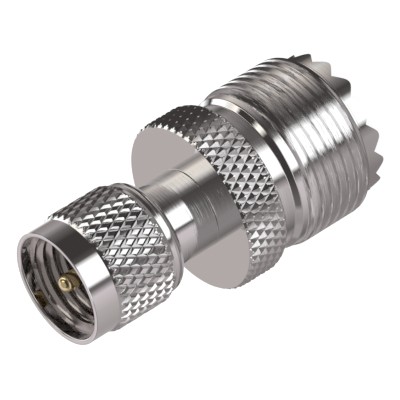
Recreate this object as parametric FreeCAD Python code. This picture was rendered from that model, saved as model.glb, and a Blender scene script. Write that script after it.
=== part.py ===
import FreeCAD, Part
import math
import os

# Coax adapter: a threaded socket with a serrated rim at the bottom, a free-turning
# coupling nut with a centre pin at the top. Millimetres, Z up along the common axis,
# origin on the axis at the level of the rim's tooth tips, a tooth tip on +X.

Vector = FreeCAD.Vector

# Clearances, each measured on the radius or along the axis; pressed pieces have none
seat_gap = 0.05
running_gap = 0.08

# Serrated rim of the socket shell
rim_outer_d = 14.04
rim_height = 1.75
tooth_count = 16
tooth_depth = 0.95
tooth_notch_width = 2.30
tooth_tip_round = 0.50

# Threaded barrel, 5/8 inch with 24 turns to the inch, drawn as its major cylinder
barrel_thread_d = 15.875
barrel_thread_length = 7.45
barrel_end_chamfer = 1.15
barrel_foot_step = 0.25

# Shoulder and relief between the thread and the flange
shoulder_length = 1.35
shoulder_crown = 2.20
relief_d = 14.30
relief_length = 2.00
relief_taper = 0.35

# Knurled flange
flange_d = 16.80
flange_length = 4.45
flange_edge_chamfer = 0.32
flange_knurl_depth = 0.30
flange_knurl_count = 52
flange_knurl_row = 0.85
flange_knurl_first_row = 0.84
flange_knurl_turn = 2.74 / 360

# Bores of the socket shell
socket_bore_d = 11.80
spigot_d = 6.80

# Plug body: the smooth neck, its spigot, ring groove and front sleeve
neck_d = 7.86
neck_length = 9.00
sleeve_d = 6.80
sleeve_length = 1.40
sleeve_bore_d = 5.80
plug_bore_d = 4.60

# Coupling nut, 3/8 inch with 24 turns to the inch inside, drawn at the minor cylinder
nut_clear_of_flange = 4.75
nut_length = 10.65
nut_knurl_d = 11.76
nut_knurl_length = 6.60
nut_collar_d = 11.12
nut_collar_length = 2.55
nut_knurl_depth = 0.28
nut_knurl_count = 38
nut_knurl_row = 0.975
nut_knurl_first_row = 0.58
nut_knurl_turn = 1.18 / 360
nut_knurl_step = 0.03
nut_thread_minor_d = 8.50
nut_mouth_d = 10.10
nut_mouth_depth = 1.15
nut_mouth_cone_length = 0.30
nut_rim_inner_chamfer = 0.20
nut_band_d = 10.96
nut_rear_round = 1.15
nut_rear_tapers = 3
nut_thread_relief_d = 9.80
nut_thread_relief_length = 1.10

# Retaining ring of the nut, a split ring half in the neck and half in the nut
ring_thickness = 0.74
ring_wall = 0.95
ring_depth_in_neck = 0.43
ring_split_deg = 24.0
nut_lip_length = 1.10
nut_land_length = 0.85

# Socket contact, a slotted tube for a 4 mm pin
contact_bore_d = 4.00
contact_outer_d = 5.40
contact_recess = 1.50
contact_bore_depth = 10.20
contact_slot_width = 0.50
contact_slot_length = 7.00
contact_slot_count = 4
contact_mouth_chamfer = 0.30
contact_web = 0.60
contact_stem_d = 2.60
contact_stem_length = 3.00

# Socket insulator and the ring that is pressed in over its edge
insulator_recess = 2.10
insulator_web = 0.90
insulator_ring_wall = 0.70
insulator_ring_thickness = 0.90

# Centre pin of the plug
pin_d = 1.66
pin_collar_d = 2.04
pin_shank_d = 2.44
pin_spigot_d = 1.50
pin_spigot_length = 2.30
pin_exposed_length = 5.50
pin_shoulder_chamfer = 0.15

# Plug insulator
plug_insulator_recess = 0.95
plug_insulator_head_length = 1.50
plug_insulator_web = 0.80

# Levels up the axis, from the tooth tips
z_rim_top = rim_height
z_thread_top = z_rim_top + barrel_thread_length
z_shoulder_top = z_thread_top + shoulder_length
z_flange_rear = z_shoulder_top + relief_length
z_flange_face = z_flange_rear + flange_length
z_neck_top = z_flange_face + neck_length
z_sleeve_top = z_neck_top + sleeve_length
z_nut_rear = z_flange_face + nut_clear_of_flange
z_nut_mouth = z_nut_rear + nut_length
z_groove_low = z_nut_rear + nut_lip_length
z_groove_high = z_groove_low + ring_thickness + 2 * running_gap
z_contact_top = contact_recess + contact_bore_depth + contact_web
z_socket_floor = z_contact_top + insulator_web
z_stem_top = z_contact_top + contact_stem_length
z_plug_insulator_front = z_sleeve_top - plug_insulator_recess
z_plug_head_seat = z_plug_insulator_front - plug_insulator_head_length
z_pin_shoulder = z_plug_insulator_front - plug_insulator_web - seat_gap
z_pin_tip = z_plug_insulator_front + pin_exposed_length

# Radii that two pieces share
ring_inner_r = neck_d / 2 - ring_depth_in_neck
ring_outer_r = ring_inner_r + ring_wall
insulator_boss_r = socket_bore_d / 2 - insulator_ring_wall


def turned(corners):
    """Solid of revolution from a closed outline of corners (radius, height, rounding)."""
    edges = []
    arcs = []
    count = len(corners)
    for i in range(count):
        before = corners[i - 1]
        here = corners[i]
        after = corners[(i + 1) % count]
        point = Vector(here[0], 0, here[1])
        to_before = (Vector(before[0], 0, before[1]) - point).normalize()
        to_after = (Vector(after[0], 0, after[1]) - point).normalize()
        rounding = here[2]
        if rounding == 0:
            arcs.append((point, None, point))
            continue
        half = to_before.getAngle(to_after) / 2
        reach = rounding / math.tan(half)
        centre = point + (to_before + to_after).normalize() * (rounding / math.sin(half))
        middle = centre + (point - centre).normalize() * rounding
        arcs.append((point + to_before * reach, middle, point + to_after * reach))
    for i in range(count):
        start, middle, end = arcs[i]
        if middle is not None:
            edges.append(Part.Arc(start, middle, end).toShape())
        edges.append(Part.LineSegment(end, arcs[(i + 1) % count][0]).toShape())
    face = Part.Face(Part.Wire(edges))
    return face.revolve(Vector(0, 0, 0), Vector(0, 0, 1), 360)


def flat_sided_solid(outlines):
    """Closed solid from flat outlines, each a list of corners."""
    faces = [Part.Face(Part.makePolygon(corners + corners[:1])) for corners in outlines]
    shell = Part.makeShell(faces)
    shell.sewShape()
    return Part.Solid(shell)


def round_point(radius, turn, height):
    """Point at a radius, a share of a full turn and a height."""
    angle = 2 * math.pi * turn
    return Vector(radius * math.cos(angle), radius * math.sin(angle), height)


def knurled_disc(count, row, first_row, first_turn, tip_r, depth, low, low_r, high, high_r):
    """Disc with a diamond knurl round it, whose points fade out to a plain radius at each end."""
    full_rows = math.ceil((high - low - first_row) / row)
    heights = [low] + [low + first_row + k * row for k in range(full_rows)] + [high]
    rows = len(heights) - 1
    outlines = []

    def level(j, i, half_pitches, radius):
        end_radius = {0: low_r, rows: high_r}
        turn = first_turn + (i + 0.5 * ((j + 1) % 2) + 0.5 * (half_pitches - 1)) / count
        return round_point(end_radius.get(j, radius), turn, heights[j])

    for j in range(rows):
        for i in range(count):
            for base, apex in ((j, j + 1), (j + 1, j)):
                left = level(base, i, 0, tip_r - depth)
                tip = level(base, i, 1, tip_r)
                right = level(base, i, 2, tip_r - depth)
                valley = level(apex, i, 1 + (apex % 2) - (base % 2), tip_r - depth)
                outlines += [[left, tip, valley], [tip, right, valley]]
    for j, radius in ((0, low_r), (rows, high_r)):
        outlines.append([level(j, 0, half, radius) for half in range(2 * count)])
    return flat_sided_solid(outlines)


def notch_bar():
    """Straight V bar across the full diameter, flared where it meets the tooth tips."""
    half_width = tooth_notch_width / 2
    flank = Vector(half_width, 0, -tooth_depth).normalize()
    turn = math.atan2(tooth_depth, half_width)
    reach = tooth_tip_round * math.tan(turn / 2)
    corner = Vector(0, half_width, 0)
    flank_end = Vector(0, half_width - flank.x * reach, -flank.z * reach)
    tip_end = Vector(0, half_width + reach, 0)
    centre = tip_end + Vector(0, 0, tooth_tip_round)
    middle = centre + (corner - centre).normalize() * tooth_tip_round
    root = Vector(0, 0, tooth_depth)
    low = Vector(0, 0, -tooth_depth)

    def mirrored(point):
        return Vector(point.x, -point.y, point.z)

    edges = [
        Part.LineSegment(root, flank_end).toShape(),
        Part.Arc(flank_end, middle, tip_end).toShape(),
        Part.LineSegment(tip_end, tip_end + low).toShape(),
        Part.LineSegment(tip_end + low, mirrored(tip_end) + low).toShape(),
        Part.LineSegment(mirrored(tip_end) + low, mirrored(tip_end)).toShape(),
        Part.Arc(mirrored(tip_end), mirrored(middle), mirrored(flank_end)).toShape(),
        Part.LineSegment(mirrored(flank_end), root).toShape(),
    ]
    bar = Part.Face(Part.Wire(edges)).extrude(Vector(2 * rim_outer_d, 0, 0))
    bar.translate(Vector(-rim_outer_d, 0, 0))
    return bar


def socket_shell():
    """Flange, relief, threaded barrel and serrated rim, turned from one bar."""
    rim_r = rim_outer_d / 2
    thread_r = barrel_thread_d / 2
    relief_r = relief_d / 2
    flange_r = flange_d / 2
    bore_r = socket_bore_d / 2
    spigot_r = spigot_d / 2
    barrel = turned([
        (0, 0, 0),
        (rim_r, 0, 0),
        (rim_r, z_rim_top, 0),
        (rim_r + barrel_foot_step, z_rim_top, 0),
        (thread_r, z_rim_top + barrel_end_chamfer, 0),
        (thread_r, z_thread_top, shoulder_crown),
        (relief_r + relief_taper, z_shoulder_top, 0),
        (relief_r, z_shoulder_top + relief_taper, 0),
        (relief_r, z_flange_rear + flange_length / 2, 0),
        (0, z_flange_rear + flange_length / 2, 0),
    ])
    bar = notch_bar()
    bars = []
    for i in range(tooth_count // 2):
        cut = bar.copy()
        cut.rotate(Vector(0, 0, 0), Vector(0, 0, 1), (i + 0.5) * 360.0 / tooth_count)
        bars.append(cut)
    edge_r = flange_r - flange_edge_chamfer
    disc = knurled_disc(
        flange_knurl_count, flange_knurl_row, flange_knurl_first_row, flange_knurl_turn,
        flange_r, flange_knurl_depth,
        z_flange_rear, edge_r, z_flange_face, edge_r)
    hollow = turned([
        (0, 0, 0),
        (bore_r, 0, 0),
        (bore_r, z_socket_floor, 0),
        (spigot_r, z_socket_floor, 0),
        (spigot_r, z_flange_face, 0),
        (0, z_flange_face, 0),
    ])
    return barrel.cut(bars).fuse(disc).cut(hollow)


def plug_body():
    """Smooth neck with a pressed spigot, the ring groove and the front contact sleeve."""
    neck_r = neck_d / 2
    spigot_r = spigot_d / 2
    sleeve_r = sleeve_d / 2
    groove_r = ring_inner_r - running_gap
    return turned([
        (plug_bore_d / 2, z_socket_floor, 0),
        (spigot_r, z_socket_floor, 0),
        (spigot_r, z_flange_face, 0),
        (neck_r, z_flange_face, 0),
        (neck_r, z_groove_low, 0),
        (groove_r, z_groove_low, 0),
        (groove_r, z_groove_high, 0),
        (neck_r, z_groove_high, 0),
        (neck_r, z_neck_top, 0),
        (sleeve_r, z_neck_top, 0),
        (sleeve_r, z_sleeve_top, 0),
        (sleeve_bore_d / 2, z_sleeve_top, 0),
        (sleeve_bore_d / 2, z_plug_head_seat, 0),
        (plug_bore_d / 2, z_plug_head_seat, 0),
    ])


def coupling_nut():
    """Knurled nut with a plain collar at its mouth and an inward lip at its rear."""
    knurl_r = nut_knurl_d / 2
    collar_r = nut_collar_d / 2
    band_r = nut_band_d / 2
    lip_r = neck_d / 2 + running_gap
    ring_r = ring_outer_r + 2 * running_gap
    minor_r = nut_thread_minor_d / 2
    mouth_r = nut_mouth_d / 2
    relief_r = nut_thread_relief_d / 2
    z_collar_foot = z_nut_mouth - nut_collar_length
    z_band_top = z_collar_foot - nut_knurl_length
    z_land_top = z_groove_high + nut_land_length
    z_thread_low = z_land_top + nut_thread_relief_length
    z_mouth_floor = z_nut_mouth - nut_mouth_depth
    core_r = band_r - nut_knurl_depth
    rear_edge = []
    for i in range(nut_rear_tapers + 1):
        angle = math.pi / 2 * i / nut_rear_tapers
        rear_edge.append((
            band_r - nut_rear_round * (1 - math.sin(angle)),
            z_nut_rear + nut_rear_round * (1 - math.cos(angle)), 0))
    turning = turned([
        (0, z_nut_rear, 0),
        *rear_edge,
        (band_r, z_band_top, 0),
        (core_r, z_band_top, 0),
        (core_r, z_collar_foot, 0),
        (collar_r, z_collar_foot, 0),
        (collar_r, z_nut_mouth, 0),
        (0, z_nut_mouth, 0),
    ])
    disc = knurled_disc(
        nut_knurl_count, nut_knurl_row, nut_knurl_first_row, nut_knurl_turn,
        knurl_r, nut_knurl_depth,
        z_band_top, band_r + nut_knurl_step, z_collar_foot, collar_r + nut_knurl_step)
    hollow = turned([
        (0, z_nut_rear, 0),
        (lip_r, z_nut_rear, 0),
        (lip_r, z_groove_low, 0),
        (ring_r, z_groove_low, 0),
        (ring_r, z_groove_high, 0),
        (lip_r, z_groove_high, 0),
        (lip_r, z_land_top, 0),
        (relief_r, z_land_top, 0),
        (relief_r, z_thread_low, 0),
        (minor_r, z_thread_low, 0),
        (minor_r, z_mouth_floor - nut_mouth_cone_length, 0),
        (mouth_r, z_mouth_floor, 0),
        (mouth_r, z_nut_mouth - nut_rim_inner_chamfer, 0),
        (mouth_r + nut_rim_inner_chamfer, z_nut_mouth, 0),
        (0, z_nut_mouth, 0),
    ])
    return turning.fuse(disc).cut(hollow)


def retaining_ring():
    """Split ring that lets the nut turn and keeps it on the neck."""
    low = z_groove_low + running_gap
    high = low + ring_thickness
    ring = turned([
        (ring_inner_r, low, 0),
        (ring_outer_r, low, 0),
        (ring_outer_r, high, 0),
        (ring_inner_r, high, 0),
    ])
    reach = 2 * ring_outer_r
    half = math.radians(ring_split_deg / 2)
    corners = [
        Vector(0, 0, low - ring_thickness),
        Vector(-reach, -reach * math.tan(half), low - ring_thickness),
        Vector(-reach, reach * math.tan(half), low - ring_thickness),
        Vector(0, 0, low - ring_thickness),
    ]
    split = Part.Face(Part.makePolygon(corners)).extrude(Vector(0, 0, 3 * ring_thickness))
    return ring.cut(split)


def socket_contact():
    """Slotted spring socket with a hollow stem for the centre pin's spigot."""
    bore_r = contact_bore_d / 2
    outer_r = contact_outer_d / 2
    stem_r = contact_stem_d / 2
    hole_r = pin_spigot_d / 2
    z_front = contact_recess
    z_bore_end = z_front + contact_bore_depth
    z_hole_floor = z_stem_top - pin_spigot_length - seat_gap
    contact = turned([
        (0, z_bore_end, 0),
        (bore_r, z_bore_end, 0),
        (bore_r, z_front + contact_mouth_chamfer, 0),
        (bore_r + contact_mouth_chamfer, z_front, 0),
        (outer_r, z_front, 0),
        (outer_r, z_contact_top, 0),
        (stem_r, z_contact_top, 0),
        (stem_r, z_stem_top, 0),
        (hole_r, z_stem_top, 0),
        (hole_r, z_hole_floor, 0),
        (0, z_hole_floor, 0),
    ])
    saw = Part.makeBox(
        2 * contact_outer_d, contact_slot_width, contact_slot_length + contact_recess,
        Vector(-contact_outer_d, -contact_slot_width / 2, z_front - contact_recess))
    saws = []
    for i in range(contact_slot_count // 2):
        cut = saw.copy()
        cut.rotate(Vector(0, 0, 0), Vector(0, 0, 1), (i + 0.5) * 360.0 / contact_slot_count)
        saws.append(cut)
    return contact.cut(saws)


def socket_insulator():
    """White tube around the socket contact, with a web that the contact rests on."""
    bore_r = contact_outer_d / 2 + seat_gap
    stem_r = contact_stem_d / 2 + seat_gap
    outer_r = socket_bore_d / 2
    z_ring = insulator_recess + insulator_ring_thickness
    z_web = z_contact_top
    return turned([
        (bore_r, insulator_recess, 0),
        (insulator_boss_r, insulator_recess, 0),
        (insulator_boss_r, z_ring, 0),
        (outer_r, z_ring, 0),
        (outer_r, z_socket_floor, 0),
        (stem_r, z_socket_floor, 0),
        (stem_r, z_web, 0),
        (bore_r, z_web, 0),
    ])


def insulator_ring():
    """Thin ring pressed into the bore over the insulator's edge."""
    top = insulator_recess + insulator_ring_thickness
    return turned([
        (insulator_boss_r, insulator_recess, 0),
        (socket_bore_d / 2, insulator_recess, 0),
        (socket_bore_d / 2, top, 0),
        (insulator_boss_r, top, 0),
    ])


def center_pin():
    """Round-nosed pin, its shank inside the plug insulator and its spigot in the stem."""
    pin_r = pin_d / 2
    collar_r = pin_collar_d / 2
    shank_r = pin_shank_d / 2
    spigot_r = pin_spigot_d / 2
    z_spigot = z_stem_top - pin_spigot_length
    shank = turned([
        (0, z_spigot, 0),
        (spigot_r, z_spigot, 0),
        (spigot_r, z_stem_top, 0),
        (shank_r, z_stem_top, 0),
        (shank_r, z_pin_shoulder - pin_shoulder_chamfer, 0),
        (shank_r - pin_shoulder_chamfer, z_pin_shoulder, 0),
        (collar_r, z_pin_shoulder, 0),
        (collar_r, z_plug_insulator_front, 0),
        (pin_r, z_plug_insulator_front, 0),
        (pin_r, z_pin_tip - pin_r, 0),
        (0, z_pin_tip - pin_r, 0),
    ])
    nose = Part.makeSphere(pin_r, Vector(0, 0, z_pin_tip - pin_r), Vector(0, 0, 1), 0, 90, 360)
    return shank.fuse(nose).removeSplitter()


def plug_insulator():
    """White tube that centres the pin in the plug body, headed at the front."""
    tube_r = plug_bore_d / 2
    head_r = sleeve_bore_d / 2
    stem_r = contact_stem_d / 2 + seat_gap
    shank_r = pin_shank_d / 2 + seat_gap
    collar_r = pin_collar_d / 2 + seat_gap
    return turned([
        (stem_r, z_socket_floor, 0),
        (tube_r, z_socket_floor, 0),
        (tube_r, z_plug_head_seat, 0),
        (head_r, z_plug_head_seat, 0),
        (head_r, z_plug_insulator_front, 0),
        (collar_r, z_plug_insulator_front, 0),
        (collar_r, z_pin_shoulder + seat_gap, 0),
        (shank_r, z_pin_shoulder + seat_gap, 0),
        (shank_r, z_stem_top + seat_gap, 0),
        (stem_r, z_stem_top + seat_gap, 0),
    ])


PIECES = {
    "socket_shell": socket_shell,
    "plug_body": plug_body,
    "coupling_nut": coupling_nut,
    "retaining_ring": retaining_ring,
    "socket_contact": socket_contact,
    "socket_insulator": socket_insulator,
    "insulator_ring": insulator_ring,
    "center_pin": center_pin,
    "plug_insulator": plug_insulator,
}

os.makedirs("parts", exist_ok=True)
for name, make in PIECES.items():
    solid = make()
    if solid.ShapeType != "Solid" and len(solid.Solids) == 1:
        solid = solid.Solids[0]
    solid.exportStep("parts/" + name + ".step")
    box = solid.BoundBox
    print(name, "solids", len(solid.Solids), "valid", solid.isValid(),
          "volume %.1f" % solid.Volume,
          "z %.2f to %.2f" % (box.ZMin, box.ZMax), "width %.2f" % box.XLength)
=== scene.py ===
import bpy
import bmesh
import math
from mathutils import Matrix, Quaternion, Vector


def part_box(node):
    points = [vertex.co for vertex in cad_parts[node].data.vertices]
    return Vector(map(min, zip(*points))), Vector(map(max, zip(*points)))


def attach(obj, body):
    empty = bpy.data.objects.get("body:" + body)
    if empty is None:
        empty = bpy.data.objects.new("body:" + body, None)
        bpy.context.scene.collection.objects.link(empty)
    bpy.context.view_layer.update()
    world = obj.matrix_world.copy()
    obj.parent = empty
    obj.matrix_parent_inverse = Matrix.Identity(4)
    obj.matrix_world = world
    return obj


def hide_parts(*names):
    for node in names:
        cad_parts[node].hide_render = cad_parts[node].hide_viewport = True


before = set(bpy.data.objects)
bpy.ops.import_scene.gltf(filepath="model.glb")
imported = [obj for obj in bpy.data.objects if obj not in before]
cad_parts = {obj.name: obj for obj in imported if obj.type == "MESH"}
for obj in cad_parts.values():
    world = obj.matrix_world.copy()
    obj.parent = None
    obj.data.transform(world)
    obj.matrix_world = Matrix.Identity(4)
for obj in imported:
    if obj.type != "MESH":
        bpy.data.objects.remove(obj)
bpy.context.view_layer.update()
mm = 0.001

# The stand: a pale floor under the adapter, a light tent round it and the camera.
# The tent is a tall drum of card with one white window and dark gaps, because bright
# plated metal shows nothing but what stands round it.


def linear(code):
    """Linear colour of an sRGB hex value, with alpha."""
    values = [int(code[i:i + 2], 16) / 255 for i in (1, 3, 5)]
    return [v / 12.92 if v <= 0.04045 else ((v + 0.055) / 1.055) ** 2.4 for v in values] + [1.0]


def add(tree, kind, inputs=(), **settings):
    """A node with its settings and its inputs, each a value, another node's output or None."""
    node = tree.nodes.new(kind)
    for key, value in settings.items():
        setattr(node, key, value)
    pairs = inputs.items() if isinstance(inputs, dict) else enumerate(inputs)
    for key, value in pairs:
        if isinstance(value, bpy.types.NodeSocket):
            tree.links.new(value, node.inputs[key])
        elif value is not None:
            node.inputs[key].default_value = value
    return node.outputs[0] if len(node.outputs) else node


def new_material(name):
    """An empty node material."""
    material = bpy.data.materials.new(name)
    material.use_nodes = True
    material.node_tree.nodes.clear()
    return material


def new_object(name, mesh):
    """An object at the origin that shows a mesh."""
    thing = bpy.data.objects.new(name, mesh)
    bpy.context.scene.collection.objects.link(thing)
    return thing


# Lengths are in millimetres and heights are from the tooth tips. The cards lean by
# card_lean radians in a metre of height.
floor_half = 600
floor_glow = 0.94
tent_radius = 80
tent_half_height = 150
tent_sides = 128
tent_light = 1.6
card_lean = 1.5
white = "#ffffff"
warm_white = "#fff8f0"
pale = "#dcd8d6"
cream = "#c4bbb4"
lilac = "#c2babd"
beige = "#a9a2a1"
dull = "#979192"
grey = "#7b7675"
dusk = "#625e5d"
dark = "#4e4b4a"
black = "#373433"
floor_grey = "#9a9a9a"
floor_in_metal = "#e6e6e4"
room_grey = "#b4b0ae"
# What hangs in the tent, from bottom to top: the lowest and highest height of each row of
# cards, and its papers by azimuth in degrees, blended from one to the next
cards = (
    # Seen by facets that lean down
    (-160, -95, (
        (-180, dusk), (-75, grey), (-30, dusk), (40, black), (165, black))),
    (-75, -50, (
        (-180, dusk), (-100, grey), (-70, beige), (-28, grey), (-18, white), (14, white),
        (26, dark), (90, black), (160, black))),
    # The barrel's height
    (-39, -34, (
        (-180, grey), (-95, grey), (-45, dull), (-34, grey), (-28, black), (-20, white),
        (14, white), (24, dark), (35, black), (50, grey), (72, cream), (86, pale), (98, cream),
        (118, dark), (134, black), (165, black))),
    # The relief's height
    (-32, -29.5, (
        (-180, dull), (-140, dull), (-116, dusk), (-80, dull), (-44, beige), (-30, dusk),
        (-20, white), (13, white), (24, dusk), (55, dark), (95, grey), (115, dark), (134, dull),
        (165, dull))),
    # The neck's height
    (-26, -21, (
        (-180, black), (-141, dark), (-109, grey), (-62, lilac), (-42, lilac), (-28, black),
        (-22, white), (17, white), (29, grey), (37, dark), (50, dusk), (67, dull), (110, cream),
        (131, grey), (148, dark), (165, black))),
    # The collar's height
    (-15, 1, (
        (-180, lilac), (-162, dull), (-120, dull), (-77, beige), (-44, lilac), (-32, dusk),
        (-27, dusk), (-21, white), (15, white), (24, dark), (35, black), (75, black),
        (97, dusk), (116, dull), (147, grey), (170, pale))),
    # Seen by facets that lean up a little
    (9, 25, (
        (-180, beige), (-150, grey), (-90, grey), (-40, dull), (0, dull), (30, black),
        (140, black), (150, white), (170, white))),
    (29, 46, (
        (-180, beige), (-140, dull), (-80, dull), (-50, dull), (-35, white), (4, white),
        (14, dull), (26, dusk), (96, black), (108, white), (170, white))),
    # What the flange's face shows of its own neck
    (56, 66, (
        (-180, beige), (-150, beige), (-117, grey), (-85, dull), (-56, dull), (-30, grey),
        (-7, dusk), (42, dark), (54, grey), (66, pale), (75, warm_white), (105, warm_white),
        (119, cream), (136, dull), (155, beige))),
    # Seen by the steep facets of the knurls and by the pin's nose
    (72, 98, (
        (-180, lilac), (-92, lilac), (-76, dusk), (-30, black), (130, black), (150, lilac))),
    (108, 150, (
        (-180, lilac), (-92, lilac), (-76, dusk), (-30, black), (54, black), (66, warm_white),
        (110, warm_white), (119, dusk), (136, dusk), (150, lilac))))

# White table paint: the camera sees it glow white, with the adapter's shadow on it. It is
# clear from below, so that the socket can be looked into.
floor_shape = bpy.data.meshes.new("floor")
floor_shape.from_pydata(
    [(x * floor_half * mm, y * floor_half * mm, 0)
     for x, y in ((-1, -1), (1, -1), (1, 1), (-1, 1))],
    [], [(0, 1, 2, 3)])
floor = new_object("floor", floor_shape)
floor.visible_glossy = False
floor_paint = new_material("white_table_paint")
tree = floor_paint.node_tree
glow = add(tree, "ShaderNodeEmission", {"Color": linear(white), "Strength": floor_glow})
paint = add(tree, "ShaderNodeBsdfDiffuse", {"Color": linear(floor_grey)})
lit = add(tree, "ShaderNodeAddShader", (glow, paint))
card = add(tree, "ShaderNodeBsdfDiffuse", {"Color": linear(floor_in_metal)})
seen = add(tree, "ShaderNodeLightPath")
top = add(tree, "ShaderNodeMixShader", (seen, card, lit))
below = add(tree, "ShaderNodeNewGeometry").node.outputs["Backfacing"]
clear = add(tree, "ShaderNodeBsdfTransparent")
add(tree, "ShaderNodeOutputMaterial", (add(tree, "ShaderNodeMixShader", (below, top, clear)),))
floor.data.materials.append(floor_paint)

# Tent card: lit paper, which shows in the plating as soft bands
tent_shape = bpy.data.meshes.new("tent")
corners = []
for height in (-tent_half_height, tent_half_height):
    for i in range(tent_sides):
        turn = 2 * math.pi * i / tent_sides
        corners.append((
            tent_radius * math.cos(turn) * mm, tent_radius * math.sin(turn) * mm, height * mm))
walls = []
for i in range(tent_sides):
    j = (i + 1) % tent_sides
    walls.append((i, i + tent_sides, j + tent_sides, j))
tent_shape.from_pydata(corners, [], walls)
tent = new_object("light_tent", tent_shape)
tent.visible_camera = False
tent.visible_shadow = False
tent_card = new_material("tent_card")
tree = tent_card.node_tree
place = add(tree, "ShaderNodeTexCoord").node.outputs["Object"]
split = add(tree, "ShaderNodeSeparateXYZ", (place,)).node
turn = add(tree, "ShaderNodeMath", (split.outputs[1], split.outputs[0]), operation="ARCTAN2")
leaning = add(
    tree, "ShaderNodeMath", (split.outputs[2], card_lean, turn), operation="MULTIPLY_ADD")
share = add(tree, "ShaderNodeMath", (leaning, 1 / (2 * math.pi), 0.5), operation="MULTIPLY_ADD")
shade = None
for low, high, stops in cards:
    ramp = add(tree, "ShaderNodeValToRGB", (share,)).node
    while len(ramp.color_ramp.elements) < len(stops) + 1:
        ramp.color_ramp.elements.new(1.0)
    all_round = stops + ((180, stops[0][1]),)
    for element, (azimuth, code) in zip(ramp.color_ramp.elements, all_round):
        element.position = (azimuth + 180) / 360
        element.color = linear(code)
    if shade is None:
        shade = ramp.outputs[0]
    else:
        level = add(tree, "ShaderNodeMapRange", {
            "Value": split.outputs[2], "From Min": last_high * mm, "From Max": low * mm})
        shade = add(
            tree, "ShaderNodeMix", {0: level, 6: shade, 7: ramp.outputs[0]},
            data_type="RGBA").node.outputs[2]
    last_high = high
add(tree, "ShaderNodeOutputMaterial", (add(tree, "ShaderNodeEmission", (shade, tent_light)),))
tent.data.materials.append(tent_card)

world = bpy.data.worlds.new("studio")
bpy.context.scene.world = world
world.use_nodes = True
tree = world.node_tree
tree.nodes.clear()
seen = add(tree, "ShaderNodeLightPath")
dim = add(tree, "ShaderNodeBackground", (linear(room_grey), 1.0))
bright = add(tree, "ShaderNodeBackground", (linear(white), 1.0))
add(tree, "ShaderNodeOutputWorld", (add(tree, "ShaderNodeMixShader", (seen, dim, bright)),))

view_azimuth = math.radians(3.30)
view_elevation = math.radians(27.646)
view_roll = math.radians(-121.285)
view_distance = 404.354
aim = Vector((-0.010, 0.167, 15.668))
towards_camera = Vector((
    math.cos(view_elevation) * math.cos(view_azimuth),
    math.cos(view_elevation) * math.sin(view_azimuth),
    math.sin(view_elevation)))
lens = bpy.data.cameras.new("camera")
lens.lens = 407.43
lens.sensor_width = 36
lens.clip_start = 0.01
camera = bpy.data.objects.new("camera", lens)
bpy.context.scene.collection.objects.link(camera)
camera.location = (aim + towards_camera * view_distance) * mm
camera.rotation_mode = "QUATERNION"
camera.rotation_quaternion = (
    towards_camera.to_track_quat("Z", "Y") @ Quaternion((0, 0, 1), view_roll))
bpy.context.scene.camera = camera
bpy.context.scene.view_settings.view_transform = "Standard"

# Socket shell: turned from brass bar, its flange rolled with a diamond knurl, its barrel
# threaded with a die and its rim milled into 16 teeth, then plated with bright nickel.
# Turning leaves fine rings that stretch every highlight round the axis.

shell_columns = 624
barrel_pitch = 25.4 / 24
barrel_crest_r = 7.9375
barrel_thread_depth = 0.26
barrel_foot = 1.95
barrel_foot_r = 7.24
barrel_foot_cone = 1.12
crown_top = 9.62
crown_top_r = 7.67
crown_length = 1.05
barrel_thread_phase = 0.30
shoulder_r = 7.62
shoulder_top = 10.25
shoulder_cone = 0.47
relief_r = 7.15
flange_rear = 12.55
flange_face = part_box("socket_shell")[1].z / mm
flange_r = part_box("socket_shell")[1].x / mm
flange_knurl_count = 52
flange_knurl_row = 0.85
flange_tip_turn = 6.2 / 360
flange_tip_height = 14.24
flange_root_depth = 0.30
flange_point_flat = 1 / 6
flange_rear_r = 8.06
flange_rear_cone = 0.50
flange_face_r = 8.09
flange_face_cone = 0.40
flange_face_ring_r = 7.6
spigot_r = 3.40
socket_bore_r = 5.90
socket_floor = 13.20
rim_r = 7.02
rim_height = 1.75
rim_edge_width = 0.05
rim_edge_height = 0.06
rim_wall_height = rim_height - rim_edge_height
rim_rows = 8
teeth = 16
tooth_depth = 0.95
tooth_notch_half = 1.12
tooth_tip_round = 0.35
thread_rows = 8
thread_spare_turns = 2
nickel = "#d6d6d6"


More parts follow.
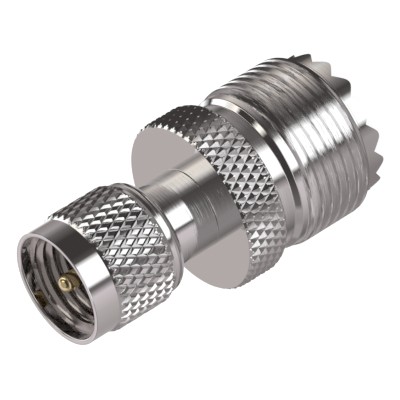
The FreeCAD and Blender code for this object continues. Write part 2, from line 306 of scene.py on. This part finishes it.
def plating(name, colour, roughness, ring_spacing, ring_height,
            streak=0.5, chatter=0.0, metallic_share=1.0):
    """Bright plate over turned metal: fine rings in the bump, gloss spread across them, short
    marks where the tool chattered, and its metallic share, which below 1 leaves part of the
    surface diffuse. Sizes in millimetres; the rings and marks are drawn coarser than a lathe
    leaves them, so that they show."""
    wander_length = 2.2
    wander_reach = 0.02
    mark_length = 2.6
    mark_width = 0.16
    haze_length = 3.0
    material = new_material(name)
    tree = material.node_tree
    place = add(tree, "ShaderNodeTexCoord").node.outputs["Object"]
    split = add(tree, "ShaderNodeSeparateXYZ", (place,)).node
    flat = add(tree, "ShaderNodeCombineXYZ", (split.outputs[0], split.outputs[1], 0.0))
    radius = add(tree, "ShaderNodeVectorMath", (flat,), operation="LENGTH").node.outputs["Value"]
    ring_place = add(tree, "ShaderNodeCombineXYZ", (radius, 0.0, split.outputs[2]))
    wander = add(tree, "ShaderNodeTexNoise", {
        "Vector": place, "Scale": 1 / (wander_length * mm), "Detail": 1.0})
    reach = (wander_reach * mm, 0.0, wander_reach * mm)
    moved = add(
        tree, "ShaderNodeVectorMath", {0: wander, 1: reach, 2: ring_place},
        operation="MULTIPLY_ADD")
    rings = add(tree, "ShaderNodeTexNoise", {
        "Vector": moved, "Scale": 1 / (ring_spacing * mm), "Detail": 2.0, "Roughness": 0.6})
    bump = add(tree, "ShaderNodeBump", {
        "Strength": 1.0, "Distance": ring_height * mm, "Height": rings})
    if chatter:
        stretch = (1 / (mark_length * mm), 1 / (mark_length * mm), 1 / (mark_width * mm))
        drawn_out = add(tree, "ShaderNodeVectorMath", (place, stretch), operation="MULTIPLY")
        marks = add(tree, "ShaderNodeTexNoise", {
            "Vector": drawn_out, "Scale": 1.0, "Detail": 2.0})
        cut = add(tree, "ShaderNodeMapRange", {
            "Value": marks, "From Min": 0.55, "From Max": 0.66})
        bump = add(tree, "ShaderNodeBump", {
            "Strength": 1.0, "Distance": chatter * mm, "Height": cut, "Normal": bump})
    round_axis = add(
        tree, "ShaderNodeVectorMath", ((0.0, 0.0, 1.0), place), operation="CROSS_PRODUCT")
    world_round = add(
        tree, "ShaderNodeVectorTransform", (round_axis,), vector_type="VECTOR",
        convert_from="OBJECT", convert_to="WORLD")
    tangent = add(tree, "ShaderNodeVectorMath", (world_round,), operation="NORMALIZE")
    haze = add(tree, "ShaderNodeTexNoise", {
        "Vector": place, "Scale": 1 / (haze_length * mm), "Detail": 3.0})
    rough = add(tree, "ShaderNodeMapRange", {
        "Value": haze, "From Min": 0.3, "From Max": 0.7,
        "To Min": roughness * 0.75, "To Max": roughness * 1.25})
    metal = add(tree, "ShaderNodeBsdfPrincipled", {
        "Base Color": linear(colour), "Metallic": metallic_share, "Roughness": rough, "Normal": bump,
        "Anisotropic": streak, "Anisotropic Rotation": 0.25, "Tangent": tangent})
    add(tree, "ShaderNodeOutputMaterial", (metal,))
    return material


# Bright nickel mirrors the tent: turned faces draw it out in streaks, the rolled knurl
# breaks it into points, and the thread is a little torn by its die
turned_nickel = plating("bright_nickel_on_turned_brass", nickel, 0.045, 0.16, 0.0015)
rolled_nickel = plating("bright_nickel_on_rolled_knurl", nickel, 0.09, 0.25, 0.002, streak=0.0)
cut_nickel = plating("bright_nickel_on_cut_thread", nickel, 0.08, 0.14, 0.004, chatter=0.008)
maths = "ShaderNodeMath"
seam_gap = 0.0003
weld_gap = 0.0005
on_axis = 1e-6
arc_steps_a_mm = 14
sharp_above = math.radians(26)
hold = 0.03


def start_band(name, sizes):
    """A tree with named inputs that lays out a flat grid: one turn of columns by whole rows."""
    tree = bpy.data.node_groups.new(name, "GeometryNodeTree")
    for label in sizes:
        kind = "NodeSocketInt" if label in ("Columns", "Rows") else "NodeSocketFloat"
        tree.interface.new_socket(label, in_out="INPUT", socket_type=kind)
    tree.interface.new_socket("Finish", in_out="INPUT", socket_type="NodeSocketMaterial")
    tree.interface.new_socket("Band", in_out="OUTPUT", socket_type="NodeSocketGeometry")
    given = add(tree, "NodeGroupInput").node.outputs
    across = add(tree, maths, (given["Columns"], 1.0), operation="ADD")
    up = add(tree, maths, (given["Rows"], 1.0), operation="ADD")
    grid = add(tree, "GeometryNodeMeshGrid", (1.0, given["Rows"], across, up))
    place = add(tree, "ShaderNodeSeparateXYZ", (add(tree, "GeometryNodeInputPosition"),)).node
    start = add(tree, maths, (place.outputs[0], 0.5), operation="ADD")
    turn = add(tree, maths, (start, given["Start Turn"]), operation="ADD")
    half = add(tree, maths, (given["Rows"], 0.5, place.outputs[1]), operation="MULTIPLY_ADD")
    row = add(tree, maths, (half,), operation="ROUND")
    return tree, given, grid, turn, row


def end_band(tree, given, grid, turn, radius, height):
    """Wraps the grid round Z at the radius and height in millimetres, and closes its seam."""
    angle = add(tree, maths, (turn, 2 * math.pi), operation="MULTIPLY")
    cosine = add(tree, maths, (angle,), operation="COSINE")
    sine = add(tree, maths, (angle,), operation="SINE")
    x = add(tree, maths, (cosine, radius), operation="MULTIPLY")
    y = add(tree, maths, (sine, radius), operation="MULTIPLY")
    spot = add(tree, "ShaderNodeCombineXYZ", (x, y, height))
    metres = add(tree, "ShaderNodeVectorMath", {0: spot, "Scale": mm}, operation="SCALE")
    wrapped = add(tree, "GeometryNodeSetPosition", {0: grid, 2: metres})
    closed = add(tree, "GeometryNodeMergeByDistance", {0: wrapped, 2: seam_gap * mm})
    cut = add(tree, "GeometryNodeTriangulate", (closed,), quad_method="SHORTEST_DIAGONAL")
    plain = add(tree, "GeometryNodeRealizeInstances", (cut,))
    finished = add(tree, "GeometryNodeSetMaterial", {0: plain, 2: given["Finish"]})
    add(tree, "NodeGroupOutput", (finished,))
    return tree


def knurl_tree():
    """Diamond knurl: two crossed families of V grooves, cut back to a cone at each end."""
    tree, given, grid, turn, row = start_band("diamond_knurl", (
        "Columns", "Rows", "Start Turn", "Count", "Tip Turn", "Tip Height", "Row Height",
        "Start Height", "Row Step", "Tip Radius", "Depth", "Point Flat",
        "Low", "Low Radius", "Low Length", "High", "High Radius", "High Length"))
    free = add(
        tree, maths, (row, given["Row Step"], given["Start Height"]), operation="MULTIPLY_ADD")
    above_low = add(tree, maths, (free, given["Low"]), operation="MAXIMUM")
    height = add(tree, maths, (above_low, given["High"]), operation="MINIMUM")
    # The place in each family of grooves, from 0 in a groove to 0.5 on a ridge
    from_tip = add(tree, maths, (turn, given["Tip Turn"]), operation="SUBTRACT")
    round_way = add(tree, maths, (from_tip, given["Count"], 0.5), operation="MULTIPLY_ADD")
    above_tip = add(tree, maths, (height, given["Tip Height"]), operation="SUBTRACT")
    two_rows = add(tree, maths, (given["Row Height"], 2.0), operation="MULTIPLY")
    up_way = add(tree, maths, (above_tip, two_rows), operation="DIVIDE")
    one_way = add(tree, maths, (round_way, up_way), operation="ADD")
    other_way = add(tree, maths, (round_way, up_way), operation="SUBTRACT")
    one = add(tree, maths, (one_way, 0.5), operation="PINGPONG")
    other = add(tree, maths, (other_way, 0.5), operation="PINGPONG")
    lower = add(tree, maths, (one, other), operation="MINIMUM")
    nearest = add(tree, maths, (lower, 2.0), operation="MULTIPLY")
    # The diamond's flank, up to the flat on its point
    flank = add(tree, maths, (1.0, given["Point Flat"]), operation="SUBTRACT")
    steep = add(tree, maths, (nearest, flank), operation="DIVIDE")
    raised = add(tree, maths, (steep, 1.0), operation="MINIMUM")
    root = add(tree, maths, (given["Tip Radius"], given["Depth"]), operation="SUBTRACT")
    radius = add(tree, maths, (raised, given["Depth"], root), operation="MULTIPLY_ADD")
    for end, far, near in (("Low", height, given["Low"]), ("High", given["High"], height)):
        end_r = given[end + " Radius"]
        inward = add(tree, maths, (far, near), operation="SUBTRACT")
        rise = add(tree, maths, (given["Tip Radius"], end_r), operation="SUBTRACT")
        slope = add(tree, maths, (rise, given[end + " Length"]), operation="DIVIDE")
        cone = add(tree, maths, (inward, slope, end_r), operation="MULTIPLY_ADD")
        radius = add(tree, maths, (radius, cone), operation="MINIMUM")
    return end_band(tree, given, grid, turn, radius, height)


def thread_tree():
    """Right-hand screw thread, which runs out into the blank at both ends. Side is 1 for an
    outer thread and -1 for an inner one, whose radii are given as negative. Of the rows of a
    turn, the crest rows are level and the flank rows lead down to the root. A run-out is a
    cone where its power is 1, and rounded outwards where it is more."""
    tree, given, grid, turn, row = start_band("screw_thread", (
        "Columns", "Rows", "Start Turn", "Start Height", "Pitch", "Side", "Crest Radius",
        "Depth", "Crest Rows", "Flank Rows", "Low", "Low Radius", "Low Length", "Low Power",
        "High", "High Radius", "High Length", "High Power"))
    crest = given["Crest Radius"]
    rows_up = add(tree, maths, (row, thread_rows), operation="DIVIDE")
    turns = add(tree, maths, (rows_up, turn), operation="ADD")
    free = add(
        tree, maths, (turns, given["Pitch"], given["Start Height"]), operation="MULTIPLY_ADD")
    above_low = add(tree, maths, (free, given["Low"]), operation="MAXIMUM")
    height = add(tree, maths, (above_low, given["High"]), operation="MINIMUM")
    in_turn = add(tree, maths, (row, thread_rows), operation="MODULO")
    past_crest = add(tree, maths, (in_turn, given["Crest Rows"]), operation="SUBTRACT")
    to_next = add(tree, maths, (thread_rows, in_turn), operation="SUBTRACT")
    from_crest = add(tree, maths, (past_crest, to_next), operation="MINIMUM")
    groove = add(
        tree, maths, (from_crest, given["Flank Rows"]), operation="DIVIDE", use_clamp=True)
    cut = add(tree, maths, (groove, given["Depth"]), operation="MULTIPLY")
    signed = add(tree, maths, (crest, cut), operation="SUBTRACT")
    low_begins = add(tree, maths, (given["Low"], given["Low Length"]), operation="ADD")
    high_begins = add(tree, maths, (given["High"], given["High Length"]), operation="SUBTRACT")
    for end, far, near in (("Low", low_begins, height), ("High", height, high_begins)):
        past = add(tree, maths, (far, near), operation="SUBTRACT")
        way = add(
            tree, maths, (past, given[end + " Length"]), operation="DIVIDE", use_clamp=True)
        share = add(tree, maths, (way, given[end + " Power"]), operation="POWER")
        whole = add(tree, maths, (crest, given[end + " Radius"]), operation="SUBTRACT")
        drop = add(tree, maths, (whole, share), operation="MULTIPLY")
        limit = add(tree, maths, (crest, drop), operation="SUBTRACT")
        signed = add(tree, maths, (signed, limit), operation="MINIMUM")
    radius = add(tree, maths, (signed, given["Side"]), operation="MULTIPLY")
    return end_band(tree, given, grid, turn, radius, height)


def rim_tree():
    """Serrated rim: straight V notches across a ring. The first quarter of the rows climbs
    down its bore wall, the middle half crosses its top and the last quarter its outer wall."""
    tree, given, grid, turn, row = start_band("serrated_rim", (
        "Columns", "Rows", "Start Turn", "Teeth", "Notch Half", "Depth", "Tip Round",
        "Bore Radius", "Rim Radius", "Wall Height"))
    along = add(tree, maths, (row, given["Rows"]), operation="DIVIDE")
    across = add(tree, maths, (along, 2.0, -0.5), operation="MULTIPLY_ADD", use_clamp=True)
    bore_wall = add(tree, maths, (along, -4.0, 1.0), operation="MULTIPLY_ADD")
    outer_wall = add(tree, maths, (along, 4.0, -3.0), operation="MULTIPLY_ADD")
    either = add(tree, maths, (bore_wall, outer_wall), operation="MAXIMUM")
    wall = add(tree, maths, (either, 0.0), operation="MAXIMUM")
    width = add(tree, maths, (given["Rim Radius"], given["Bore Radius"]), operation="SUBTRACT")
    radius = add(tree, maths, (across, width, given["Bore Radius"]), operation="MULTIPLY_ADD")
    teeth_round = add(tree, maths, (turn, given["Teeth"]), operation="MULTIPLY")
    in_tooth = add(tree, maths, (teeth_round,), operation="FRACT")
    from_middle = add(tree, maths, (in_tooth, 0.5), operation="SUBTRACT")
    wide_angle = add(tree, maths, (from_middle, 2 * math.pi), operation="MULTIPLY")
    angle = add(tree, maths, (wide_angle, given["Teeth"]), operation="DIVIDE")
    sine = add(tree, maths, (angle,), operation="SINE")
    aside = add(tree, maths, (sine, radius), operation="MULTIPLY")
    distance = add(tree, maths, (aside,), operation="ABSOLUTE")
    reach = add(tree, maths, (distance, given["Notch Half"]), operation="DIVIDE")
    share = add(tree, maths, (1.0, reach), operation="SUBTRACT")
    sharp = add(tree, maths, (share, given["Depth"]), operation="MULTIPLY")
    notch = add(tree, maths, (sharp, 0.0, given["Tip Round"]), operation="SMOOTH_MAX")
    wall_left = add(tree, maths, (given["Wall Height"], notch), operation="SUBTRACT")
    rise = add(tree, maths, (wall, wall_left), operation="MULTIPLY")
    height = add(tree, maths, (notch, rise), operation="ADD")
    return end_band(tree, given, grid, turn, radius, height)


def make_band(tree, finish, sizes):
    """The mesh of a band, worked out from its tree and named inputs on a throwaway object."""
    carrier = new_object("band", bpy.data.meshes.new("band"))
    modifier = carrier.modifiers.new("band", "NODES")
    modifier.node_group = tree
    for socket in tree.interface.items_tree:
        if socket.in_out == "INPUT":
            modifier[socket.identifier] = finish if socket.name == "Finish" else sizes[socket.name]
    graph = bpy.context.evaluated_depsgraph_get()
    mesh = bpy.data.meshes.new_from_object(carrier.evaluated_get(graph))
    bpy.data.objects.remove(carrier)
    return mesh


def rounded(corners):
    """An outline of (radius, height, rounding) corners: its roundings turned into short arcs,
    and each straight run held by a ring just inside both ends, so that it shades as straight."""
    points = []
    for i, (r, z, rounding) in enumerate(corners):
        here = Vector((r, z))
        if rounding == 0 or i in (0, len(corners) - 1):
            points.append(here)
            continue
        back = (Vector(corners[i - 1][:2]) - here).normalized()
        ahead = (Vector(corners[i + 1][:2]) - here).normalized()
        half = back.angle(ahead) / 2
        centre = here + (back + ahead).normalized() * (rounding / math.sin(half))
        start = here + back * (rounding / math.tan(half)) - centre
        end = here + ahead * (rounding / math.tan(half)) - centre
        sweep = start.angle_signed(end)
        steps = max(2, math.ceil(arc_steps_a_mm * rounding))
        for k in range(steps + 1):
            spoke = start.copy()
            spoke.rotate(Matrix.Rotation(-sweep * k / steps, 2))
            points.append(centre + spoke)
    held = [points[0]]
    for low, high in zip(points, points[1:]):
        run = (high - low).length
        if run > 5 * hold:
            held += [low.lerp(high, hold / run), high.lerp(low, hold / run)]
        held.append(high)
    return held


def turned(name, columns, start_turn, chains, bands, finishes, body, nodes):
    """One plated or plastic piece: outlines turned round Z, joined with its bands and closed."""
    shape = bmesh.new()
    for chain in chains:
        rings = []
        for point in rounded(chain):
            if point.x < on_axis:
                rings.append([shape.verts.new((0, 0, point.y * mm))] * columns)
                continue
            ring = []
            for i in range(columns):
                angle = 2 * math.pi * (i / columns + start_turn)
                x = point.x * math.cos(angle) * mm
                y = point.x * math.sin(angle) * mm
                ring.append(shape.verts.new((x, y, point.y * mm)))
            rings.append(ring)
        for low, high in zip(rings, rings[1:]):
            for i in range(columns):
                j = (i + 1) % columns
                around = [low[i], low[j], high[j], high[i]]
                corners = [v for k, v in enumerate(around) if v not in around[:k]]
                shape.faces.new(corners)
    for band in bands:
        done = len(shape.faces)
        shape.from_mesh(band)
        shape.faces.ensure_lookup_table()
        for face in shape.faces[done:]:
            face.material_index = finishes.index(band.materials[-1])
    bmesh.ops.remove_doubles(shape, verts=shape.verts, dist=weld_gap * mm)
    bmesh.ops.recalc_face_normals(shape, faces=shape.faces)
    mesh = bpy.data.meshes.new(name)
    shape.to_mesh(mesh)
    shape.free()
    for finish in finishes:
        mesh.materials.append(finish)
    mesh.polygons.foreach_set("use_smooth", [True] * len(mesh.polygons))
    mesh.set_sharp_from_angle(angle=sharp_above)
    piece = new_object(name, mesh)
    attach(piece, body)
    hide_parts(*nodes)


diamond_knurl = knurl_tree()
screw_thread = thread_tree()
serrated_rim = rim_tree()


def knurl_sizes(columns, start_turn, count, row, tip_turn, tip_height, tip_r, depth, flat,
                low, high):
    """Named inputs of a knurl whose points fall on whole columns; low and high are
    (height, radius, cone length)."""
    step = row * 2 * count / columns
    rows_below = math.ceil((tip_height - low[0]) / step)
    rows_above = math.ceil((high[0] - tip_height) / step)
    whole_turn = start_turn + round((tip_turn - start_turn) * columns) / columns
    return {
        "Columns": columns, "Rows": rows_below + rows_above, "Start Turn": start_turn,
        "Count": count, "Tip Turn": whole_turn, "Tip Height": tip_height, "Row Height": row,
        "Start Height": tip_height - rows_below * step, "Row Step": step,
        "Tip Radius": tip_r, "Depth": depth, "Point Flat": flat,
        "Low": low[0], "Low Radius": low[1], "Low Length": low[2],
        "High": high[0], "High Radius": high[1], "High Length": high[2]}


shell_start = 0.5 / teeth
flange_knurl = make_band(diamond_knurl, rolled_nickel, knurl_sizes(
    shell_columns, shell_start, flange_knurl_count, flange_knurl_row, flange_tip_turn,
    flange_tip_height, flange_r, flange_root_depth, flange_point_flat,
    (flange_rear, flange_rear_r, flange_rear_cone),
    (flange_face, flange_face_r, flange_face_cone)))
barrel_turns = math.ceil((crown_top - barrel_foot) / barrel_pitch) + thread_spare_turns
barrel_thread = make_band(screw_thread, cut_nickel, {
    "Columns": shell_columns, "Rows": thread_rows * barrel_turns, "Start Turn": shell_start,
    "Start Height": barrel_foot - thread_spare_turns * barrel_pitch + barrel_thread_phase,
    "Pitch": barrel_pitch, "Side": 1.0,
    "Crest Radius": barrel_crest_r, "Depth": barrel_thread_depth,
    "Crest Rows": 5.0, "Flank Rows": 1.0,
    "Low": barrel_foot, "Low Radius": barrel_foot_r,
    "Low Length": barrel_foot_cone, "Low Power": 2.5,
    "High": crown_top, "High Radius": crown_top_r,
    "High Length": crown_length, "High Power": 2.0})
rim = make_band(serrated_rim, turned_nickel, {
    "Columns": shell_columns, "Rows": rim_rows, "Start Turn": shell_start,
    "Teeth": float(teeth), "Notch Half": tooth_notch_half, "Depth": tooth_depth,
    "Tip Round": tooth_tip_round, "Bore Radius": socket_bore_r, "Rim Radius": rim_r,
    "Wall Height": rim_wall_height})
turned(
    "socket_shell_plated", shell_columns, shell_start,
    [
        [(rim_r, rim_wall_height, 0), (rim_r - rim_edge_width, rim_height, 0),
         (barrel_foot_r, rim_height, 0.03), (barrel_foot_r, barrel_foot, 0)],
        [(crown_top_r, crown_top, 0), (shoulder_r, shoulder_top, 0.15),
         (relief_r, shoulder_top + shoulder_cone, 0.12), (relief_r, flange_rear, 0.06),
         (flange_rear_r, flange_rear, 0)],
        [(flange_face_r, flange_face, 0), (flange_face_ring_r, flange_face, 0),
         (spigot_r, flange_face, 0.10), (spigot_r, socket_floor, 0),
         (socket_bore_r, socket_floor, 0.10), (socket_bore_r, rim_wall_height, 0)],
    ],
    [flange_knurl, barrel_thread, rim], [turned_nickel, rolled_nickel, cut_nickel],
    "body", ["socket_shell"])

# Plug body: the plain neck, turned from bar and pressed into the flange by its spigot.
# A groove near its front holds the retaining ring, and a short thin sleeve beyond it is
# the outer contact of the plug. The same nickel plate, a little more coarsely turned.

neck_columns = 256
neck_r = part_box("plug_body")[1].x / mm
neck_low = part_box("plug_body")[0].z / mm
sleeve_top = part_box("plug_body")[1].z / mm
neck_top = 26.00
neck_groove_r = 3.42
neck_groove = (22.85, 23.75)
sleeve_r = 3.40
sleeve_bore_r = 2.90
plug_bore_r = 2.30
plug_head_seat = 24.95
# The neck's tool marks run in short dashes round it
turned_neck = plating("bright_nickel_on_plain_neck", nickel, 0.06, 0.20, 0.003, chatter=0.0012)
turned(
    "plug_body_plated", neck_columns, 0.0,
    [[(plug_bore_r, neck_low, 0), (spigot_r, neck_low, 0.10), (spigot_r, flange_face, 0),
      (neck_r, flange_face, 0.05), (neck_r, neck_groove[0], 0.03),
      (neck_groove_r, neck_groove[0], 0.05), (neck_groove_r, neck_groove[1], 0.05),
      (neck_r, neck_groove[1], 0.03), (neck_r, neck_top, 0.20), (sleeve_r, neck_top, 0.10),
      (sleeve_r, sleeve_top, 0.12), (sleeve_bore_r, sleeve_top, 0.08),
      (sleeve_bore_r, plug_head_seat, 0.03), (plug_bore_r, plug_head_seat, 0.03),
      (plug_bore_r, neck_low, 0)]],
    [], [turned_neck], "body", ["plug_body"])

# Coupling nut: turned from bar and held on the neck by the ring in its groove. Its outside
# carries the same rolled diamond knurl between a plain collar and a rounded rear band, and
# its bore a right-hand thread. It turns freely.

nut_columns = 456
nut_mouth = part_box("coupling_nut")[1].z / mm
nut_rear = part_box("coupling_nut")[0].z / mm
nut_knurl_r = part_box("coupling_nut")[1].x / mm
nut_knurl_count = 38
nut_knurl_row = 0.975
nut_tip_turn = 1.18 / 360
nut_tip_height = 27.73
nut_knurl_depth = 0.25
nut_point_flat = 1 / 2
nut_band_r = 5.48
nut_band_round = 1.15
nut_collar_r = 5.56
nut_knurl_low = 23.25
nut_knurl_low_cone = 0.70
nut_knurl_high = 29.85
nut_knurl_high_cone = 0.55
nut_lip_r = 4.01
nut_groove_r = 4.61
nut_land_top = 24.60
nut_relief_r = 4.90
nut_relief_top = 25.70
nut_crest_r = 4.25
nut_thread_depth = 0.42
nut_mouth_r = 5.05
nut_mouth_floor = 31.25
nut_knurl = make_band(diamond_knurl, rolled_nickel, knurl_sizes(
    nut_columns, 0.0, nut_knurl_count, nut_knurl_row, nut_tip_turn, nut_tip_height, nut_knurl_r,
    nut_knurl_depth, nut_point_flat, (nut_knurl_low, nut_band_r, nut_knurl_low_cone),
    (nut_knurl_high, nut_collar_r, nut_knurl_high_cone)))
nut_turns = math.ceil((nut_mouth_floor - nut_relief_top) / barrel_pitch) + thread_spare_turns
# The inside of the nut gets a darker, rougher copy of the nickel that is partly diffuse: painted
# shade for its bore
inner_nickel_painted_shade = plating(
    "nut_bore_nickel_painted_darker", "#b0aaa8", 0.12, 0.22, 0.004, metallic_share=0.8)
nut_thread = make_band(screw_thread, inner_nickel_painted_shade, {
    "Columns": nut_columns, "Rows": thread_rows * nut_turns, "Start Turn": 0.0,
    "Start Height": nut_relief_top - thread_spare_turns * barrel_pitch,
    "Pitch": barrel_pitch, "Side": -1.0,
    "Crest Radius": -nut_crest_r, "Depth": nut_thread_depth,
    "Crest Rows": 1.0, "Flank Rows": 2.5,
    "Low": nut_relief_top, "Low Radius": -nut_relief_r, "Low Length": 0.30, "Low Power": 1.0,
    "High": nut_mouth_floor, "High Radius": -nut_mouth_r,
    "High Length": 0.25, "High Power": 1.0})
turned(
    "coupling_nut_plated", nut_columns, 0.0,
    [
        [(nut_lip_r, nut_rear, 0), (nut_band_r, nut_rear, nut_band_round),
         (nut_band_r, nut_knurl_low, 0)],
        [(nut_collar_r, nut_knurl_high, 0), (nut_collar_r, nut_mouth, 0.07),
         (nut_mouth_r, nut_mouth, 0.22), (nut_mouth_r, nut_mouth_floor, 0)],
        [(nut_relief_r, nut_relief_top, 0), (nut_relief_r, nut_land_top, 0.05),
         (nut_lip_r, nut_land_top, 0.05), (nut_lip_r, neck_groove[1], 0.05),
         (nut_groove_r, neck_groove[1], 0.03), (nut_groove_r, neck_groove[0], 0.03),
         (nut_lip_r, neck_groove[0], 0.05), (nut_lip_r, nut_rear, 0)],
    ],
    [nut_knurl, nut_thread], [turned_nickel, rolled_nickel, inner_nickel_painted_shade],
    "nut", ["coupling_nut"])

# Centre pin: turned from brass and gold plated, with a round nose in the mouth of the nut.
# Its shank sits in the white insulator and its spigot in the socket contact's stem. The
# spigot, out of sight, is drawn 0.27 thicker in radius than the solid's.

pin_columns = 96
pin_r = 0.83
pin_nose_round = pin_r - 0.001
pin_collar_r = 1.02
pin_shank_r = 1.22
pin_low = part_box("center_pin")[0].z / mm
pin_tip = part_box("center_pin")[1].z / mm
pin_stem_top = 15.30
pin_shoulder = 25.60
insulator_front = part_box("plug_insulator")[1].z / mm
# A thin gold plate gives a warm mirror with hardly any rings
gold_plate = plating("thin_gold_on_turned_brass", "#e7d6a9", 0.07, 0.14, 0.0008)
turned(
    "center_pin_plated", pin_columns, 0.0,
    [[(0, pin_low, 0), (pin_collar_r, pin_low, 0.15), (pin_collar_r, pin_stem_top, 0.02),
      (pin_shank_r, pin_stem_top, 0.05), (pin_shank_r, pin_shoulder, 0.14),
      (pin_collar_r, pin_shoulder, 0.02), (pin_collar_r, insulator_front, 0.05),
      (pin_r, insulator_front, 0.03), (pin_r, pin_tip, pin_nose_round), (0, pin_tip, 0)]],
    [], [gold_plate], "body", ["center_pin"])

# The white insulators: turned from PTFE, a soft waxy plastic that glows a little. One fills
# the socket round its contact, the other centres the pin in the plug body. Their holes where
# the contact's stem passes, out of sight, are drawn plainer than the solids'.

white_ptfe = new_material("turned_white_ptfe")
tree = white_ptfe.node_tree
wax = add(tree, "ShaderNodeBsdfPrincipled", {
    "Base Color": linear("#eeeeea"), "Roughness": 0.35, "IOR": 1.38, "Subsurface Weight": 0.15,
    "Subsurface Radius": (0.4 * mm, 0.4 * mm, 0.4 * mm), "Subsurface Scale": 1.0})
add(tree, "ShaderNodeOutputMaterial", (wax,))
contact_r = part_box("socket_contact")[1].x / mm
socket_insulator_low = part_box("socket_insulator")[0].z / mm
socket_insulator_columns = 192
socket_insulator_boss = 5.20
socket_insulator_ring = 0.4
ring_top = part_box("insulator_ring")[1].z / mm
plug_insulator_columns = 128
plug_insulator_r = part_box("plug_insulator")[1].x / mm
turned(
    "socket_insulator_white", socket_insulator_columns, 0.0,
    [[(contact_r, socket_insulator_low, 0.05),
      (contact_r + socket_insulator_ring, socket_insulator_low, 0),
      (socket_insulator_boss, socket_insulator_low, 0.05), (socket_insulator_boss, ring_top, 0),
      (socket_bore_r, ring_top, 0), (socket_bore_r, socket_floor, 0), (contact_r, socket_floor, 0),
      (contact_r, socket_insulator_low, 0)]],
    [], [white_ptfe], "body", ["socket_insulator"])
turned(
    "plug_insulator_white", plug_insulator_columns, 0.0,
    [[(pin_shank_r, socket_floor, 0), (plug_bore_r, socket_floor, 0),
      (plug_bore_r, plug_head_seat, 0), (plug_insulator_r, plug_head_seat, 0),
      (plug_insulator_r, insulator_front, 0.05), (pin_collar_r, insulator_front, 0),
      (pin_collar_r, pin_shoulder, 0), (pin_shank_r, pin_shoulder, 0),
      (pin_shank_r, socket_floor, 0)]],
    [], [white_ptfe], "body", ["plug_insulator"])

# Insulator ring: a thin plated washer pressed into the socket's bore, over the step of the
# white insulator, to hold it in.

ring_columns = 192
ring_edge = 0.2
ring_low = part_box("insulator_ring")[0].z / mm
turned(
    "insulator_ring_plated", ring_columns, 0.0,
    [[(socket_insulator_boss, ring_low, 0.05), (socket_bore_r - ring_edge, ring_low, 0),
      (socket_bore_r, ring_low, 0.05), (socket_bore_r, ring_top, 0),
      (socket_insulator_boss, ring_top, 0), (socket_insulator_boss, ring_low, 0)]],
    [], [turned_nickel], "body", ["insulator_ring"])

# Socket contact and retaining ring: the slotted tube is gold plated like the pin, and the
# split ring that carries the nut is bare spring bronze. Both keep their solid form.

spring_bronze = plating("bare_spring_bronze", "#c69a6c", 0.25, 0.14, 0.002)
for name, metal, slot in (
        ("socket_contact", gold_plate, "gold_brass"),
        ("retaining_ring", spring_bronze, "spring_bronze")):
    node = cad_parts[name]
    node.data.materials.clear()
    node.data.materials.append(metal)
